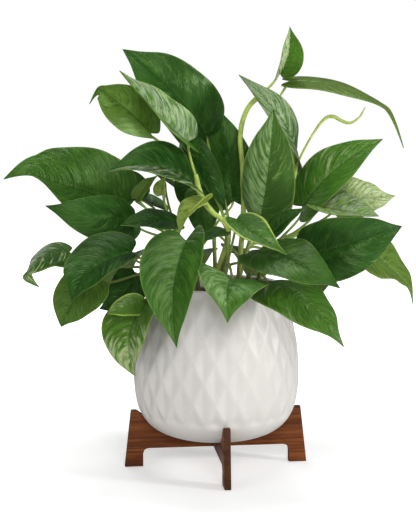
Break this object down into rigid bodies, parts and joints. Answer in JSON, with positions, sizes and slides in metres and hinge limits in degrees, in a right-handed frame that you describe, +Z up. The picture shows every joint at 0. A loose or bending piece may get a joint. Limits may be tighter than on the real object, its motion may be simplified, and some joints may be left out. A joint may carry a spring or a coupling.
{
  "type": "potted pothos plant",
  "caption": "Leafy pothos with heart-shaped leaves in a white pot with diamond relief, standing on a crossed wooden stand.",
  "frame": {"origin": "on the floor under the middle of the pot, which is also the middle of the plant's outline seen from above", "axes": "+Z up, -Y towards the viewer of the picture, +X to the viewer's right"},
  "size_m": [0.3768, 0.3007, 0.4012],
  "materials": {
    "glaze": "satin",
    "walnut": "satin",
    "soil": "matte",
    "leaf": "satin"
  },
  "bodies": {
    "root": {"pot": "glaze", "soil": "soil", "stand_board_long": "walnut", "stand_board_cross": "walnut", "vine_tall_left": "leaf", "vine_striped_left": "leaf", "vine_low_left": "leaf", "vine_far_left": "leaf", "vine_front_left": "leaf", "vine_front": "leaf", "vine_front_right": "leaf", "vine_right": "leaf", "vine_tall_right": "leaf", "vine_back": "leaf", "vine_back_left": "leaf", "vine_back_right": "leaf"}
  },
  "joints": []
}
